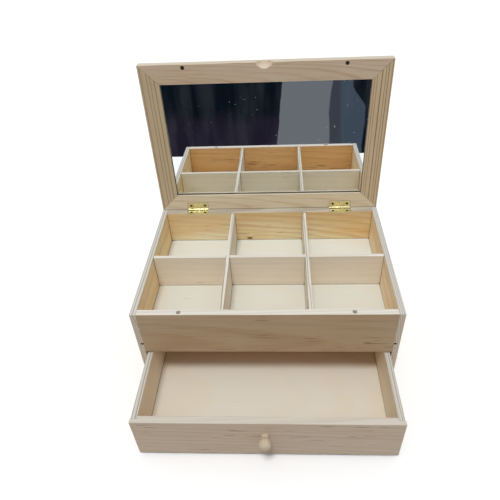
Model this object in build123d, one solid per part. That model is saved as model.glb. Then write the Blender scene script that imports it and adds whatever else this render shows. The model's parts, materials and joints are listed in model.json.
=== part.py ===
from build123d import *
import os
from math import cos, radians, sin

# A wooden jewelry box: a case with a divided tray on top, a drawer below it and a hinged lid
# with a mirror inside. All sizes are in millimetres.
# X runs to the right, Y runs from the front to the back and Z runs up.
# The origin is the centre of the case's footprint, on the surface that it stands on.
# The box is modelled with its lid standing open and its drawer pulled out.

# Poses at rest
LID_OPEN_ANGLE = 92.0
DRAWER_PULLED_OUT = 78.0

# Case
CASE_WIDTH = 260.0
CASE_DEPTH = 174.0
CASE_HEIGHT = 111.5
SIDE_THICKNESS = 6.0
FASCIA_THICKNESS = 7.0
FASCIA_HEIGHT = 54.6
BACK_THICKNESS = 9.0
PLY_THICKNESS = 2.7
GROOVE_DEPTH = 3.0

# Tray
TRAY_DEPTH = 41.5
DIVIDER_THICKNESS = 4.0
DIVIDER_BELOW_RIM = 0.5
LONG_DIVIDER_FROM_FRONT = 85.3
CROSS_DIVIDER_FROM_MIDDLE = 42.8

# Drawer
DRAWER_FRONT_THICKNESS = 7.1
DRAWER_FRONT_HEIGHT = 52.5
DRAWER_FRONT_SIDE_GAP = 0.9
DRAWER_WALL_THICKNESS = 5.6
DRAWER_BOX_SIDE_GAP = 1.7
DRAWER_BACK_GAP = 0.5
DRAWER_UNDER_GAP = 0.5
DRAWER_FLOOR_BELOW_TOP = 42.7
DRAWER_FRONT_RABBET = 2.8

# Knob
KNOB_RADIUS = 6.2
KNOB_CENTRE_BELOW_TOP = 19.4
KNOB_LEFT_OF_MIDDLE = 1.2
KNOB_STAND_OFF = 8.6
KNOB_NECK_RADIUS = 3.0
KNOB_FOOT_RADIUS = 4.0
KNOB_SCREW_LENGTH = 16.0
KNOB_SCREW_RADIUS = 1.6
KNOB_SCREW_HEAD_RADIUS = 3.2
KNOB_SCREW_HEAD_HEIGHT = 1.8

# Lid
LID_THICKNESS = 9.0
LID_GAP = 0.5
LID_RAIL_WIDTH = 20.2
LID_LIP_THICKNESS = 2.2
LID_REBATE_WIDTH = 5.0
MIRROR_THICKNESS = 2.0
MIRROR_LEAN = 0.6
LID_PANEL_THICKNESS = 3.2
PANEL_CLEARANCE = 0.3

# Finger notch, a ball-shaped scoop in the lid's front edge
NOTCH_RADIUS = 10.25
NOTCH_CENTRE_OUTSIDE_EDGE = 3.6
NOTCH_CENTRE_OFF_FACE = 2.5

# Magnets
MAGNET_RADIUS = 2.0
MAGNET_LENGTH = 2.5
MAGNET_FROM_MIDDLE = 83.2
MAGNET_FROM_EDGE = 3.5
LID_MAGNET_RECESS = 0.6

# Butt hinges
HINGE_FROM_MIDDLE = 86.0
HINGE_WIDTH = 24.6
LEAF_REACH = 8.8
LEAF_THICKNESS = 0.9
KNUCKLE_COUNT = 4
KNUCKLE_GAP = 0.1
LEAF_OFFSET = 1.5
LEAF_ROOT_CLEARANCE = 0.2
KNUCKLE_RADIUS = 1.45
PIN_RADIUS = 0.75
PIN_CLEARANCE = 0.05
MORTISE_CLEARANCE = 0.25
LID_STOP_CLEARANCE = 0.05
HINGE_SCREW_FROM_PIN = 5.2
HINGE_SCREW_FROM_MIDDLE = 8.5
HINGE_SCREW_LENGTH = 7.0
HINGE_SCREW_RADIUS = 0.8
HINGE_SCREW_HEAD_RADIUS = 1.6

# Screw points and cross slots, as shares of the shank's or the head's radius
SCREW_POINT_LENGTH = 2.5
SCREW_TIP_RADIUS = 0.1
CROSS_RECESS_LENGTH = 1.25
CROSS_RECESS_WIDTH = 0.3
CROSS_RECESS_DEPTH = 0.4

# Panel brads
BRAD_RADIUS = 0.6
BRAD_LENGTH = 12.0
BRAD_HEAD_RADIUS = 1.0
BRAD_HEAD_HEIGHT = 0.5
BOTTOM_BRAD_PLACES_Y = (-70.0, -23.0, 23.0, 65.0)
BOTTOM_BRAD_PLACES_X = (-90.0, -30.0, 30.0, 90.0)
DRAWER_BRAD_ABOVE_BOTTOM = 16.0
DRAWER_BRAD_BELOW_TOP = 12.0

# Levels and faces that follow from the sizes above
OUTER_X = CASE_WIDTH / 2
INNER_X = OUTER_X - SIDE_THICKNESS
FRONT_Y = -CASE_DEPTH / 2
BACK_Y = CASE_DEPTH / 2
FASCIA_INNER_Y = FRONT_Y + FASCIA_THICKNESS
BACK_INNER_Y = BACK_Y - BACK_THICKNESS
FASCIA_BOTTOM = CASE_HEIGHT - FASCIA_HEIGHT
TRAY_FLOOR_TOP = CASE_HEIGHT - TRAY_DEPTH
TRAY_FLOOR_BOTTOM = TRAY_FLOOR_TOP - PLY_THICKNESS
DIVIDER_TOP = CASE_HEIGHT - DIVIDER_BELOW_RIM
DIVIDER_CROSSING = (TRAY_FLOOR_TOP + DIVIDER_TOP) / 2
LONG_DIVIDER_Y = FRONT_Y + LONG_DIVIDER_FROM_FRONT
LID_UNDERSIDE = CASE_HEIGHT + LID_GAP
LID_TOP = LID_UNDERSIDE + LID_THICKNESS
LID_SIGHT_X = OUTER_X - LID_RAIL_WIDTH
LID_SIGHT_Y = BACK_Y - LID_RAIL_WIDTH

# The pin lies level with the rim. It is set in from the back so that the lid's rear edge
# comes to rest against the back of the case at the open angle.
OPEN = radians(LID_OPEN_ANGLE)
PIN_Z = CASE_HEIGHT
PIN_INSET = (LID_GAP * sin(OPEN) - LID_STOP_CLEARANCE) / (1 - cos(OPEN))
PIN_Y = BACK_Y - PIN_INSET
PIN_AXIS = Axis((0, PIN_Y, PIN_Z), (1, 0, 0))


def block(x_range, y_range, z_range):
    """A box between three pairs of limits."""
    size = [limits[1] - limits[0] for limits in (x_range, y_range, z_range)]
    corner = Pos(x_range[0], y_range[0], z_range[0])
    return corner * Box(*size, align=(Align.MIN, Align.MIN, Align.MIN))


def both_sides(shape):
    """The shape and its mirror image across the middle of the box, as separate solids."""
    return group([shape, shape.mirror(Plane.YZ)])


def group(shapes):
    """Identical loose pieces kept together as one named node."""
    solids = [solid for shape in shapes for solid in shape.solids()]
    return Compound(children=solids)


def without(board, fixings):
    """The board with room cut for every solid in a group of fixings."""
    return board - fixings.solids()


def swing_open(shape):
    """Turn a piece of the closed lid to the open pose."""
    return shape.rotate(PIN_AXIS, -LID_OPEN_ANGLE)


def pull_out(shape):
    """Move a piece of the closed drawer to the pulled-out pose."""
    return Pos(0, -DRAWER_PULLED_OUT, 0) * shape


def wood_screw(length, radius, head_radius, head_height):
    """A countersunk screw pointing down, with its head's top face at the origin."""
    tip = SCREW_POINT_LENGTH * radius
    shank = Pos(0, 0, -(length - tip) / 2) * Cylinder(radius, length - tip)
    point = Pos(0, 0, -(length - tip / 2)) * Cone(radius * SCREW_TIP_RADIUS, radius, tip)
    head = Pos(0, 0, -head_height / 2) * Cone(radius, head_radius, head_height)
    return shank + point + head


def cross_recess(head_radius):
    """The cross-shaped driver slot of a screw whose head's top face is at the origin."""
    long_side = head_radius * CROSS_RECESS_LENGTH
    short_side = head_radius * CROSS_RECESS_WIDTH
    depth = head_radius * CROSS_RECESS_DEPTH
    return Box(long_side, short_side, 2 * depth) + Box(short_side, long_side, 2 * depth)


def brad():
    """A panel brad pointing up, with its head's flat face at the origin."""
    shank = Pos(0, 0, BRAD_LENGTH / 2) * Cylinder(BRAD_RADIUS, BRAD_LENGTH)
    head = Pos(0, 0, BRAD_HEAD_HEIGHT / 2) * Cylinder(BRAD_HEAD_RADIUS, BRAD_HEAD_HEIGHT)
    return shank + head


def magnet(centre_y, face_z, direction):
    """A pair of disc magnets with one face at face_z, reaching up (+1) or down (-1)."""
    middle_z = face_z + direction * MAGNET_LENGTH / 2
    disc = Pos(MAGNET_FROM_MIDDLE, centre_y, middle_z) * Cylinder(MAGNET_RADIUS, MAGNET_LENGTH)
    return both_sides(disc)


# Hinge parts, closed, with the pin along X through the origin. The case leaf lies below the
# pin and the lid leaf above it, and both reach towards the front.


def knuckle_range(index):
    """Start and end of one knuckle along the pin."""
    pitch = HINGE_WIDTH / KNUCKLE_COUNT
    start = -HINGE_WIDTH / 2 + index * pitch
    return start + KNUCKLE_GAP / 2, start + pitch - KNUCKLE_GAP / 2


def hinge_leaf(side, own_knuckles, bore_radius):
    """One leaf with its knuckles. side is -1 for the case leaf and +1 for the lid leaf."""
    levels = sorted((side * LEAF_OFFSET, side * (LEAF_OFFSET - LEAF_THICKNESS)))
    half = HINGE_WIDTH / 2
    clear_of_knuckles = -(LEAF_OFFSET + LEAF_ROOT_CLEARANCE)
    leaf = block((-half, half), (-LEAF_REACH, clear_of_knuckles), levels)
    for index in own_knuckles:
        limits = knuckle_range(index)
        middle = (limits[0] + limits[1]) / 2
        length = limits[1] - limits[0]
        leaf += block(limits, (clear_of_knuckles, 0), levels)
        leaf += Pos(middle, 0, 0) * Rot(0, 90, 0) * Cylinder(KNUCKLE_RADIUS, length)
    leaf -= Rot(0, 90, 0) * Cylinder(bore_radius, HINGE_WIDTH + 2)
    for x in (-HINGE_SCREW_FROM_MIDDLE, HINGE_SCREW_FROM_MIDDLE):
        leaf -= Pos(x, 0, 0) * hinge_screw_space(side)
    # The flat part of the root outside the knuckle's round is trimmed off.
    overhang = block((-half, half), (-0.001, KNUCKLE_RADIUS + 1), levels)
    return leaf - (overhang - Rot(0, 90, 0) * Cylinder(KNUCKLE_RADIUS, HINGE_WIDTH))


def hinge_screw_pose(side):
    """Where a hinge screw sits, in its leaf's countersink."""
    head_face = Pos(0, -HINGE_SCREW_FROM_PIN, side * (LEAF_OFFSET - LEAF_THICKNESS))
    return head_face * Rot(0, 0 if side < 0 else 180, 0)


def hinge_screw_solid():
    return wood_screw(
        HINGE_SCREW_LENGTH, HINGE_SCREW_RADIUS, HINGE_SCREW_HEAD_RADIUS, LEAF_THICKNESS
    )


def hinge_screw_space(side):
    """The solid space that a hinge screw fills."""
    return hinge_screw_pose(side) * hinge_screw_solid()


def hinge_screw(side):
    """A hinge screw with its driver slot."""
    return hinge_screw_pose(side) * (hinge_screw_solid() - cross_recess(HINGE_SCREW_HEAD_RADIUS))


def at_hinges(make):
    """Four copies of a piece, two on each hinge, from make()."""
    pieces = []
    for hinge in (-HINGE_FROM_MIDDLE, HINGE_FROM_MIDDLE):
        for offset in (-HINGE_SCREW_FROM_MIDDLE, HINGE_SCREW_FROM_MIDDLE):
            pieces.append(Pos(hinge + offset, PIN_Y, PIN_Z) * make)
    return group(pieces)


def hinge_mortise(side):
    """The shallow pockets that both hinges need in the case (-1) or in the lid (+1)."""
    half = HINGE_WIDTH / 2 + MORTISE_CLEARANCE
    floor = PIN_Z + side * LEAF_OFFSET
    levels = (floor, CASE_HEIGHT + 1) if side < 0 else (LID_UNDERSIDE - 1, floor)
    reach = LEAF_REACH + MORTISE_CLEARANCE
    front = BACK_INNER_Y - 1 if side < 0 else PIN_Y - reach
    pocket = block(
        (HINGE_FROM_MIDDLE - half, HINGE_FROM_MIDDLE + half), (front, BACK_Y + 1), levels
    )
    return both_sides(pocket)


CASE_HINGE_SCREWS = at_hinges(hinge_screw(-1))
LID_HINGE_SCREWS = at_hinges(hinge_screw(+1))
CASE_HINGE_SCREW_HOLES = at_hinges(hinge_screw_space(-1))
LID_HINGE_SCREW_HOLES = at_hinges(hinge_screw_space(+1))
CASE_MAGNETS = magnet(FRONT_Y + MAGNET_FROM_EDGE, CASE_HEIGHT, -1)


# Case


def tray_floor():
    """Plywood floor of the tray, let into grooves on all four sides."""
    x = INNER_X + GROOVE_DEPTH
    return block(
        (-x, x),
        (FASCIA_INNER_Y - GROOVE_DEPTH, BACK_INNER_Y + GROOVE_DEPTH),
        (TRAY_FLOOR_BOTTOM, TRAY_FLOOR_TOP),
    )


def case_bottom_board():
    """Plywood bottom, let into rabbets under the sides and the back."""
    x = INNER_X + GROOVE_DEPTH
    return block((-x, x), (FRONT_Y, BACK_INNER_Y + GROOVE_DEPTH), (0, PLY_THICKNESS))


def case_bottom_brads():
    """Brads driven up through the bottom into the sides and the back."""
    pieces = []
    side_x = INNER_X + GROOVE_DEPTH / 2
    back_y = BACK_INNER_Y + GROOVE_DEPTH / 2
    for y in BOTTOM_BRAD_PLACES_Y:
        pieces += [Pos(-side_x, y, 0) * brad(), Pos(side_x, y, 0) * brad()]
    for x in BOTTOM_BRAD_PLACES_X:
        pieces.append(Pos(x, back_y, 0) * brad())
    return group(pieces)


BOTTOM_BRADS = case_bottom_brads()


def case_right_side():
    """Full-height side board. The tray's groove runs out at both ends."""
    board = block((INNER_X, OUTER_X), (FRONT_Y, BACK_Y), (0, CASE_HEIGHT))
    groove_x = (INNER_X - 1, INNER_X + GROOVE_DEPTH)
    through = (FRONT_Y - 1, BACK_Y + 1)
    board -= block(groove_x, through, (TRAY_FLOOR_BOTTOM, TRAY_FLOOR_TOP))
    board -= block(groove_x, through, (-1, PLY_THICKNESS))
    return without(board, BOTTOM_BRADS)


def case_back():
    """Back board between the sides, with the case halves of the hinge mortises."""
    board = block((-INNER_X, INNER_X), (BACK_INNER_Y, BACK_Y), (0, CASE_HEIGHT))
    let_in = (BACK_INNER_Y - 1, BACK_INNER_Y + GROOVE_DEPTH)
    along = (-OUTER_X, OUTER_X)
    board -= block(along, let_in, (TRAY_FLOOR_BOTTOM, TRAY_FLOOR_TOP))
    board -= block(along, let_in, (-1, PLY_THICKNESS))
    board = without(board, hinge_mortise(-1))
    board = without(board, CASE_HINGE_SCREW_HOLES)
    return without(board, BOTTOM_BRADS)


def case_fascia():
    """Front board above the drawer, holding the tray's floor and two magnets."""
    board = block((-INNER_X, INNER_X), (FRONT_Y, FASCIA_INNER_Y), (FASCIA_BOTTOM, CASE_HEIGHT))
    let_in = (FASCIA_INNER_Y - GROOVE_DEPTH, FASCIA_INNER_Y + 1)
    board -= block((-OUTER_X, OUTER_X), let_in, (TRAY_FLOOR_BOTTOM, TRAY_FLOOR_TOP))
    return without(board, CASE_MAGNETS)


def cross_divider(x):
    """Front-to-back divider, notched from below to straddle the long one."""
    half = DIVIDER_THICKNESS / 2
    board = block(
        (x - half, x + half), (FASCIA_INNER_Y, BACK_INNER_Y), (TRAY_FLOOR_TOP, DIVIDER_TOP)
    )
    notch_x = (x - DIVIDER_THICKNESS, x + DIVIDER_THICKNESS)
    notch_y = (LONG_DIVIDER_Y - half, LONG_DIVIDER_Y + half)
    return board - block(notch_x, notch_y, (TRAY_FLOOR_TOP - 1, DIVIDER_CROSSING))


def long_divider():
    """Side-to-side divider, notched from above for the two cross dividers."""
    half = DIVIDER_THICKNESS / 2
    limits_y = (LONG_DIVIDER_Y - half, LONG_DIVIDER_Y + half)
    board = block((-INNER_X, INNER_X), limits_y, (TRAY_FLOOR_TOP, DIVIDER_TOP))
    for x in (-CROSS_DIVIDER_FROM_MIDDLE, CROSS_DIVIDER_FROM_MIDDLE):
        notch_y = (LONG_DIVIDER_Y - DIVIDER_THICKNESS, LONG_DIVIDER_Y + DIVIDER_THICKNESS)
        board -= block((x - half, x + half), notch_y, (DIVIDER_CROSSING, DIVIDER_TOP + 1))
    return board


# Drawer, in its closed place

DRAWER_FRONT_X = INNER_X - DRAWER_FRONT_SIDE_GAP
DRAWER_OUTER_X = INNER_X - DRAWER_BOX_SIDE_GAP
DRAWER_INNER_X = DRAWER_OUTER_X - DRAWER_WALL_THICKNESS
DRAWER_BOTTOM = PLY_THICKNESS + DRAWER_UNDER_GAP
DRAWER_TOP = DRAWER_BOTTOM + DRAWER_FRONT_HEIGHT
DRAWER_FRONT_INNER_Y = FRONT_Y + DRAWER_FRONT_THICKNESS
DRAWER_BACK_Y = BACK_INNER_Y - DRAWER_BACK_GAP
DRAWER_BACK_INNER_Y = DRAWER_BACK_Y - DRAWER_WALL_THICKNESS
DRAWER_FLOOR_TOP = DRAWER_TOP - DRAWER_FLOOR_BELOW_TOP
KNOB_X = -KNOB_LEFT_OF_MIDDLE
KNOB_Z = DRAWER_TOP - KNOB_CENTRE_BELOW_TOP


def drawer_floor():
    """Plywood floor of the drawer, let into grooves on all four sides."""
    x = DRAWER_INNER_X + GROOVE_DEPTH
    return block(
        (-x, x),
        (DRAWER_FRONT_INNER_Y - GROOVE_DEPTH, DRAWER_BACK_INNER_Y + GROOVE_DEPTH),
        (DRAWER_FLOOR_TOP - PLY_THICKNESS, DRAWER_FLOOR_TOP),
    )


def drawer_brads():
    """Brads driven through the drawer's sides into its front and back."""
    pieces = []
    front_y = DRAWER_FRONT_INNER_Y - DRAWER_FRONT_RABBET / 2
    back_y = DRAWER_BACK_Y - DRAWER_WALL_THICKNESS / 2
    low_z = DRAWER_BOTTOM + DRAWER_BRAD_ABOVE_BOTTOM
    high_z = DRAWER_TOP - DRAWER_BRAD_BELOW_TOP
    for y in (front_y, back_y):
        for z in (low_z, high_z):
            pieces.append(Pos(DRAWER_OUTER_X, y, z) * Rot(0, -90, 0) * brad())
    return both_sides(group(pieces))


def knob_screw_space():
    """The solid space that the knob's screw fills, driven from inside the drawer."""
    screw = wood_screw(
        KNOB_SCREW_LENGTH, KNOB_SCREW_RADIUS, KNOB_SCREW_HEAD_RADIUS, KNOB_SCREW_HEAD_HEIGHT
    )
    return knob_screw_pose() * screw


def knob_screw_pose():
    return Pos(KNOB_X, DRAWER_FRONT_INNER_Y, KNOB_Z) * Rot(-90, 0, 0)


def knob_screw():
    return knob_screw_space() - knob_screw_pose() * cross_recess(KNOB_SCREW_HEAD_RADIUS)


DRAWER_BRADS = drawer_brads()
DRAWER_FLOOR = drawer_floor()
KNOB_SCREW_SPACE = knob_screw_space()


def drawer_front():
    """Drawer front with rabbeted ends, a groove for the floor and the knob's screw hole."""
    x = DRAWER_FRONT_X
    board = block((-x, x), (FRONT_Y, DRAWER_FRONT_INNER_Y), (DRAWER_BOTTOM, DRAWER_TOP))
    rabbet = block(
        (DRAWER_INNER_X, DRAWER_FRONT_X + 1),
        (DRAWER_FRONT_INNER_Y - DRAWER_FRONT_RABBET, DRAWER_FRONT_INNER_Y + 1),
        (DRAWER_BOTTOM - 1, DRAWER_TOP + 1),
    )
    board = without(board, both_sides(rabbet)) - DRAWER_FLOOR - KNOB_SCREW_SPACE
    return without(board, DRAWER_BRADS)


def drawer_right_side():
    """Drawer side, let into the front's rabbet and running to the back."""
    start = DRAWER_FRONT_INNER_Y - DRAWER_FRONT_RABBET
    board = block(
        (DRAWER_INNER_X, DRAWER_OUTER_X), (start, DRAWER_BACK_Y), (DRAWER_BOTTOM, DRAWER_TOP)
    )
    groove = block(
        (DRAWER_INNER_X - 1, DRAWER_INNER_X + GROOVE_DEPTH),
        (start - 1, DRAWER_BACK_Y + 1),
        (DRAWER_FLOOR_TOP - PLY_THICKNESS, DRAWER_FLOOR_TOP),
    )
    return without(board - groove, DRAWER_BRADS)


def drawer_back():
    """Drawer back between the sides."""
    x = DRAWER_INNER_X
    board = block(
        (-x, x), (DRAWER_BACK_INNER_Y, DRAWER_BACK_Y), (DRAWER_BOTTOM, DRAWER_TOP)
    )
    return without(board - DRAWER_FLOOR, DRAWER_BRADS)


def knob():
    """Turned ball knob on a short waisted foot."""
    centre = Pos(KNOB_X, FRONT_Y - KNOB_STAND_OFF, KNOB_Z)
    ball = centre * Sphere(KNOB_RADIUS)
    foot_length = KNOB_STAND_OFF - KNOB_RADIUS / 2
    foot = Pos(KNOB_X, FRONT_Y - foot_length / 2, KNOB_Z) * Rot(90, 0, 0)
    foot = foot * Cone(KNOB_FOOT_RADIUS, KNOB_NECK_RADIUS, foot_length)
    return ball + foot - KNOB_SCREW_SPACE


# Lid, in its closed place


def lid_frame():
    """The whole mirror frame before it is cut into mitred rails."""
    frame = block((-OUTER_X, OUTER_X), (FRONT_Y, BACK_Y), (LID_UNDERSIDE, LID_TOP))
    sight = ((-LID_SIGHT_X, LID_SIGHT_X), (-LID_SIGHT_Y, LID_SIGHT_Y))
    frame -= block(*sight, (LID_UNDERSIDE - 1, LID_TOP + 1))
    rebate_x = LID_SIGHT_X + LID_REBATE_WIDTH
    rebate_y = LID_SIGHT_Y + LID_REBATE_WIDTH
    frame -= block(
        (-rebate_x, rebate_x),
        (-rebate_y, rebate_y),
        (LID_UNDERSIDE + LID_LIP_THICKNESS, LID_TOP + 1),
    )
    notch_centre = (0, FRONT_Y - NOTCH_CENTRE_OUTSIDE_EDGE, LID_UNDERSIDE - NOTCH_CENTRE_OFF_FACE)
    frame -= Pos(*notch_centre) * Sphere(NOTCH_RADIUS)
    hole_z = LID_UNDERSIDE + (MAGNET_LENGTH + LID_MAGNET_RECESS) / 2
    hole = Cylinder(MAGNET_RADIUS, MAGNET_LENGTH + LID_MAGNET_RECESS)
    hole = Pos(MAGNET_FROM_MIDDLE, FRONT_Y + MAGNET_FROM_EDGE, hole_z) * hole
    for cut_out in (both_sides(hole), hinge_mortise(+1), LID_HINGE_SCREW_HOLES):
        frame = without(frame, cut_out)
    return frame


def mitred_piece(frame, corners):
    """The part of the frame inside an upright prism with the given corners."""
    outline = Face(Wire.make_polygon([(x, y, LID_UNDERSIDE - 1) for x, y in corners]))
    return frame & extrude(outline, LID_THICKNESS + 2, dir=(0, 0, 1))


def lid_rails():
    """The four mitred rails of the lid, by name."""
    frame = lid_frame()
    x = OUTER_X
    y = BACK_Y
    inner_x = x - LID_RAIL_WIDTH - 1
    inner_y = y - LID_RAIL_WIDTH - 1
    front = mitred_piece(frame, [(-x, -y), (x, -y), (inner_x, -inner_y), (-inner_x, -inner_y)])
    rear = mitred_piece(frame, [(-x, y), (x, y), (inner_x, inner_y), (-inner_x, inner_y)])
    left = mitred_piece(frame, [(-x, -y), (-inner_x, -inner_y), (-inner_x, inner_y), (-x, y)])
    right = mitred_piece(frame, [(x, -y), (inner_x, -inner_y), (inner_x, inner_y), (x, y)])
    return {
        "lid_front_rail": front,
        "lid_rear_rail": rear,
        "lid_left_rail": left,
        "lid_right_rail": right,
    }


INFILL_X = LID_SIGHT_X + LID_REBATE_WIDTH - PANEL_CLEARANCE
INFILL_Y = LID_SIGHT_Y + LID_REBATE_WIDTH - PANEL_CLEARANCE


def lid_infill(bottom, top):
    """A sheet that drops into the lid frame's rebate."""
    return block((-INFILL_X, INFILL_X), (-INFILL_Y, INFILL_Y), (bottom, top))


def lid_mirror():
    """The mirror leans in its rebate: it bears on the front lip and sits deeper at the rear."""
    face = LID_UNDERSIDE + LID_LIP_THICKNESS
    front_edge = Axis((0, -INFILL_Y, face), (1, 0, 0))
    return lid_infill(face, face + MIRROR_THICKNESS).rotate(front_edge, MIRROR_LEAN)


def hinge_at(side_x, part):
    """A hinge part on the left (-1) or right (+1) hinge."""
    return Pos(side_x * HINGE_FROM_MIDDLE, PIN_Y, PIN_Z) * part


def build_case():
    right_side = case_right_side()
    return {
        "case_right_side": right_side,
        "case_left_side": right_side.mirror(Plane.YZ),
        "case_back": case_back(),
        "case_fascia": case_fascia(),
        "case_bottom": without(case_bottom_board(), BOTTOM_BRADS),
        "case_bottom_brads": BOTTOM_BRADS,
        "case_magnets": CASE_MAGNETS,
        "tray_floor": tray_floor(),
        "tray_long_divider": long_divider(),
        "tray_left_divider": cross_divider(-CROSS_DIVIDER_FROM_MIDDLE),
        "tray_right_divider": cross_divider(CROSS_DIVIDER_FROM_MIDDLE),
    }


def build_hinges():
    case_leaf = hinge_leaf(-1, (0, 2), PIN_RADIUS)
    lid_leaf = hinge_leaf(+1, (1, 3), PIN_RADIUS + PIN_CLEARANCE)
    pin = Rot(0, 90, 0) * Cylinder(PIN_RADIUS, HINGE_WIDTH)
    pieces = {
        "hinge_case_screws": CASE_HINGE_SCREWS,
        "hinge_lid_screws": swing_open(LID_HINGE_SCREWS),
    }
    for name, side_x in (("left", -1), ("right", +1)):
        pieces[f"{name}_hinge_case_leaf"] = hinge_at(side_x, case_leaf)
        pieces[f"{name}_hinge_lid_leaf"] = swing_open(hinge_at(side_x, lid_leaf))
        pieces[f"{name}_hinge_pin"] = hinge_at(side_x, pin)
    return pieces


def build_lid():
    pieces = lid_rails()
    pieces["lid_mirror"] = lid_mirror()
    pieces["lid_top_panel"] = lid_infill(LID_TOP - LID_PANEL_THICKNESS, LID_TOP)
    magnet_face = LID_UNDERSIDE + LID_MAGNET_RECESS
    pieces["lid_magnets"] = magnet(FRONT_Y + MAGNET_FROM_EDGE, magnet_face, +1)
    return {name: swing_open(piece) for name, piece in pieces.items()}


def build_drawer():
    right_side = drawer_right_side()
    pieces = {
        "drawer_front": drawer_front(),
        "drawer_right_side": right_side,
        "drawer_left_side": right_side.mirror(Plane.YZ),
        "drawer_back": drawer_back(),
        "drawer_floor": DRAWER_FLOOR,
        "drawer_brads": DRAWER_BRADS,
        "drawer_knob": knob(),
        "drawer_knob_screw": knob_screw(),
    }
    return {name: pull_out(piece) for name, piece in pieces.items()}


def main():
    os.makedirs("parts", exist_ok=True)
    pieces = {**build_case(), **build_hinges(), **build_lid(), **build_drawer()}
    for name, piece in pieces.items():
        export_step(piece, f"parts/{name}.step")
    print(len(pieces), "nodes, pin at y", round(PIN_Y, 3), "z", round(PIN_Z, 3))


main()
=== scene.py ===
# %% [markdown]
# # A bare pine jewelry box
# The box is glued up from thin pine boards that were never varnished. A plywood tray with six
# compartments sits above a full-width drawer, and a mitred lid with a mirror swings on two small
# brass butt hinges. The frame holds every board at its real size, so this file only gives the
# boards their wood, the metal its polish and the mirror its silvering, and then sets up a small
# daylight studio around them.

# %% Load the frame
import json
import math

import bpy
from mathutils import Matrix, Vector


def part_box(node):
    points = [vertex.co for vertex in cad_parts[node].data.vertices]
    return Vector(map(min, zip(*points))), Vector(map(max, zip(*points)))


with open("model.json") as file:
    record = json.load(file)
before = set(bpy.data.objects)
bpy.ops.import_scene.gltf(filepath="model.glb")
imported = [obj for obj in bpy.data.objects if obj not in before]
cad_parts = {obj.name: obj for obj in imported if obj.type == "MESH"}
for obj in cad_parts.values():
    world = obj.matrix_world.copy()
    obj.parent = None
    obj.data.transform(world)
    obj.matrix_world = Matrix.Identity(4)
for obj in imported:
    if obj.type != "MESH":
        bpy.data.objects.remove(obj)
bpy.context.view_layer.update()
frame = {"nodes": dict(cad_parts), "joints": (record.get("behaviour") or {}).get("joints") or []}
NODES = frame["nodes"]
MM = 0.001

# %% [markdown]
# ## Camera
# A tabletop shot from a little right of centre and well above the rim, turned slightly, so that the
# tray, the drawer and the mirror all show. A camera can be placed with Euler angles, but three
# plain angles are easier to reason about: how far it swings sideways, how far it looks down and how
# far it leans. The matrix is built from those.

# %% Camera
SENSOR = 36.0


def camera_axes(yaw, down, lean):
    """The camera's right, up and forward directions from three angles in degrees."""
    yaw, down, lean = (math.radians(angle) for angle in (yaw, down, lean))
    forward = Vector((math.sin(yaw) * math.cos(down), math.cos(yaw) * math.cos(down), -math.sin(down)))
    level = Vector((math.cos(yaw), -math.sin(yaw), 0))
    above = level.cross(forward)
    right = level * math.cos(lean) + above * math.sin(lean)
    up = above * math.cos(lean) - level * math.sin(lean)
    return right, up, forward


def add_camera(place, yaw, down, lean, lens, shift):
    """A camera at a place in metres, looking down by an angle and leaning a little to one side."""
    data = bpy.data.cameras.new("tabletop_camera")
    data.sensor_width = SENSOR
    data.lens = lens
    data.shift_x, data.shift_y = shift
    data.clip_start, data.clip_end = 0.01, 60
    camera = bpy.data.objects.new("tabletop_camera", data)
    bpy.context.scene.collection.objects.link(camera)
    right, up, forward = camera_axes(yaw, down, lean)
    turn = Matrix((right, up, -forward)).transposed()
    camera.matrix_world = Matrix.Translation(place) @ turn.to_4x4()
    bpy.context.scene.camera = camera
    return camera


camera = add_camera((0.0162715, -0.3880948, 0.4415467), yaw=-3.7720, down=38.9229, lean=-3.0057,
                    lens=34.0274, shift=(-0.0161015, -0.0138756))
print("camera at", tuple(round(v, 3) for v in camera.location), "lens", round(camera.data.lens, 1))

# %% [markdown]
# ## Wiring shader nodes
# A material in Blender is a small network of nodes. Wired by hand in the editor it is hard to read
# back, so this helper adds one node for each step of a formula and links it, and a finish then
# reads from top to bottom. Colours are given as screen values from 0 to 255 and turned into the
# linear light that shaders work in.

# %% Helpers for wiring shader nodes
def daylight(red, green, blue):
    """A colour given as 0 to 255 screen values, as the linear RGBA that shaders work in."""
    def linear(value):
        value /= 255
        return value / 12.92 if value <= 0.04045 else ((value + 0.055) / 1.055) ** 2.4
    return (linear(red), linear(green), linear(blue), 1.0)


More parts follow.
